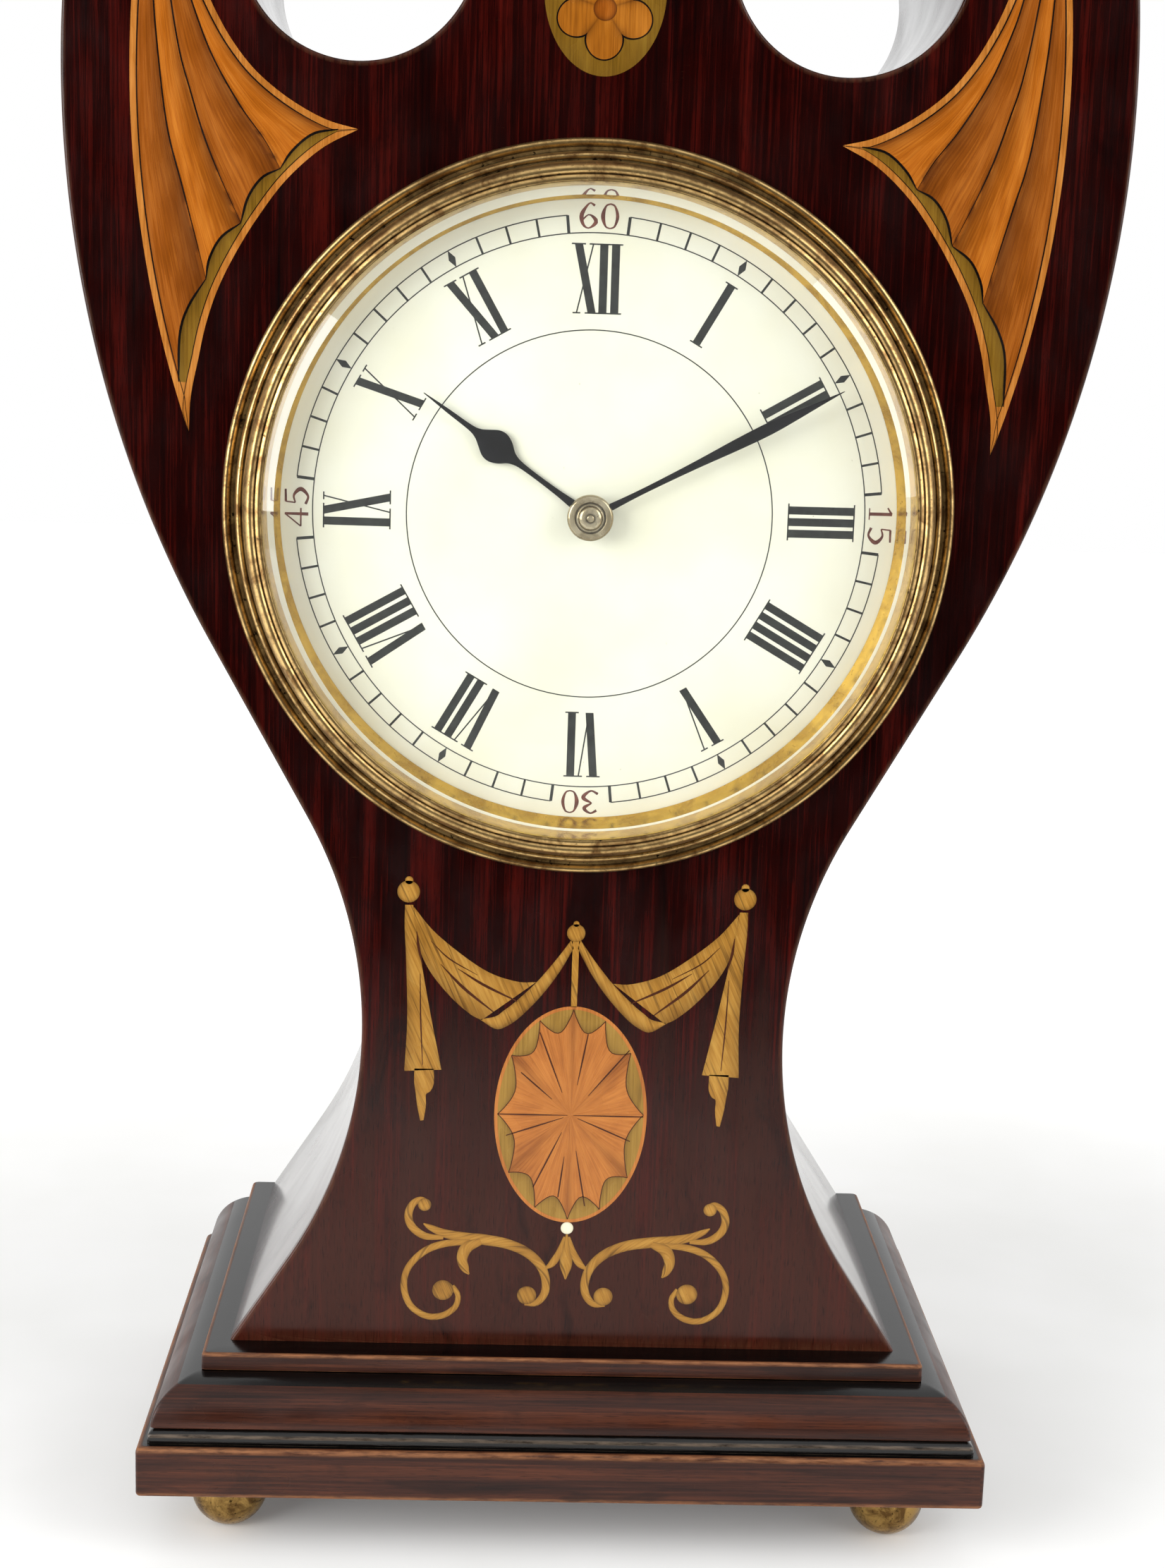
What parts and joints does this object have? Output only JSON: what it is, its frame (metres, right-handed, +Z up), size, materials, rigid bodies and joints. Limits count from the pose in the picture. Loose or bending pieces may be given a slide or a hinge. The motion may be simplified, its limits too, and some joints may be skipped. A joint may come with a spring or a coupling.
{
  "type": "mantel timepiece",
  "caption": "Waisted inlaid mahogany mantel timepiece with a pierced head, brass bezel, stepped plinth on ball feet, working hands, train, winding key and back door.",
  "frame": {"origin": "on the surface under the feet, below the middle of the base block", "axes": "+X to the viewer's right, +Y from the dial to the back, +Z up"},
  "size_m": [0.1482, 0.0834, 0.28],
  "materials": {
    "mahogany": "french polished",
    "ebonised": "ebonised, polished",
    "satinwood": "polished inlay",
    "brass": "aged, lacquer worn",
    "gilt": "bright gilt",
    "glass": "bevelled and polished",
    "enamel": "vitreous enamel",
    "blued_steel": "blued",
    "steel": "polished",
    "nickel": "worn nickel"
  },
  "bodies": {
    "clock_case": {"case_core": "mahogany", "front_panel": "mahogany", "side_veneer": "mahogany", "piercing_lining_left": "mahogany", "piercing_lining_right": "mahogany", "upper_fillet": "mahogany", "ovolo_moulding": "mahogany", "base_block": "mahogany", "lower_fillet": "ebonised", "fan_inlay_left": "satinwood", "fan_inlay_right": "satinwood", "patera_inlay": "satinwood", "shell_inlay": "satinwood", "swag_inlay": "satinwood", "scroll_inlay": "satinwood", "ball_foot_front_left": "brass", "ball_foot_front_right": "brass", "ball_foot_back_left": "brass", "ball_foot_back_right": "brass", "bezel_flange": "brass", "bezel_ring": "brass", "dial_plate": "brass", "drum": "brass", "rear_cap": "brass", "front_plate": "brass", "back_plate": "brass", "pillars": "brass", "platform": "brass", "balance_cock": "brass", "back_ring": "brass", "ring_screws": "brass", "hinge_pin": "brass", "sight_ring": "gilt", "glass": "glass", "dial": "enamel", "hairspring": "blued_steel"},
    "hands_arbor": {"centre_arbor": "steel", "cannon_pinion": "brass", "minute_hand": "blued_steel", "hand_nut": "nickel", "set_knob": "brass"},
    "hour_work": {"hour_wheel": "brass", "hour_hand": "blued_steel"},
    "minute_work": {"minute_wheel": "brass"},
    "spring_barrel": {"barrel": "brass", "barrel_cap": "brass", "mainspring": "steel"},
    "winder": {"winding_arbor": "steel", "ratchet_wheel": "steel", "winding_key": "brass"},
    "centre_work": {"centre_wheel": "brass"},
    "third_work": {"third_wheel": "brass"},
    "fourth_work": {"fourth_wheel": "brass"},
    "escape_work": {"escape_wheel": "steel"},
    "lever": {"pallet_lever": "steel"},
    "balance": {"balance_wheel": "brass"},
    "regulator": {"regulator_index": "steel"},
    "ratchet_click": {"click": "steel"},
    "rear_door": {"back_door": "brass"}
  },
  "joints": [
    {"name": "hands", "type": "hinge", "parent": "clock_case", "child": "hands_arbor", "pos_m": [0, 0.00225, 0.155], "axis": [0, 1, 0], "continuous": true},
    {"name": "hour", "type": "hinge", "parent": "clock_case", "child": "hour_work", "pos_m": [0, -0.01975, 0.155], "axis": [0, 1, 0], "continuous": true},
    {"name": "minute_wheel_turn", "type": "hinge", "parent": "clock_case", "child": "minute_work", "pos_m": [0, -0.01975, 0.14657], "axis": [0, 1, 0], "continuous": true},
    {"name": "going_train", "type": "hinge", "parent": "clock_case", "child": "third_work", "pos_m": [0.01525, 0.00225, 0.16055], "axis": [0, 1, 0], "continuous": true},
    {"name": "centre_wheel_turn", "type": "hinge", "parent": "clock_case", "child": "centre_work", "pos_m": [0, -0.01775, 0.155], "axis": [0, 1, 0], "continuous": true},
    {"name": "barrel_turn", "type": "hinge", "parent": "clock_case", "child": "spring_barrel", "pos_m": [-0.01529, 0.00225, 0.13971], "axis": [0, 1, 0], "continuous": true},
    {"name": "fourth_wheel_turn", "type": "hinge", "parent": "clock_case", "child": "fourth_work", "pos_m": [0.01288, 0.00225, 0.17397], "axis": [0, 1, 0], "continuous": true},
    {"name": "escape_wheel_turn", "type": "hinge", "parent": "clock_case", "child": "escape_work", "pos_m": [0.00506, 0.00225, 0.17849], "axis": [0, 1, 0], "continuous": true},
    {"name": "winding", "type": "hinge", "parent": "clock_case", "child": "winder", "pos_m": [-0.01529, 0.00225, 0.13971], "axis": [0, 1, 0], "continuous": true},
    {"name": "lever_swing", "type": "hinge", "parent": "clock_case", "child": "lever", "pos_m": [0.00026, 0.00225, 0.17849], "axis": [0, 1, 0], "range_deg": [-6, 6]},
    {"name": "balance_swing", "type": "hinge", "parent": "clock_case", "child": "balance", "pos_m": [-0.00734, 0.00225, 0.17849], "axis": [0, 1, 0], "range_deg": [-220, 220]},
    {"name": "regulator_swing", "type": "hinge", "parent": "clock_case", "child": "regulator", "pos_m": [-0.00734, 0.02075, 0.17849], "axis": [0, 1, 0], "range_deg": [-25, 25]},
    {"name": "click_lift", "type": "hinge", "parent": "clock_case", "child": "ratchet_click", "pos_m": [-0.00954, 0.00425, 0.12975], "axis": [0, 1, 0], "range_deg": [0, 12]},
    {"name": "door_hinge", "type": "hinge", "parent": "clock_case", "child": "rear_door", "pos_m": [-0.0484, 0.04015, 0.155], "axis": [0, 0, 1], "range_deg": [0, 110]}
  ],
  "couplings": [
    {"joint": "minute_wheel_turn", "follows": "hands", "ratio": -0.33333},
    {"joint": "hour", "follows": "hands", "ratio": 0.083333},
    {"joint": "centre_wheel_turn", "follows": "going_train", "ratio": -0.125},
    {"joint": "barrel_turn", "follows": "going_train", "ratio": 0.015625},
    {"joint": "fourth_wheel_turn", "follows": "going_train", "ratio": -7.5},
    {"joint": "escape_wheel_turn", "follows": "going_train", "ratio": 60}
  ]
}
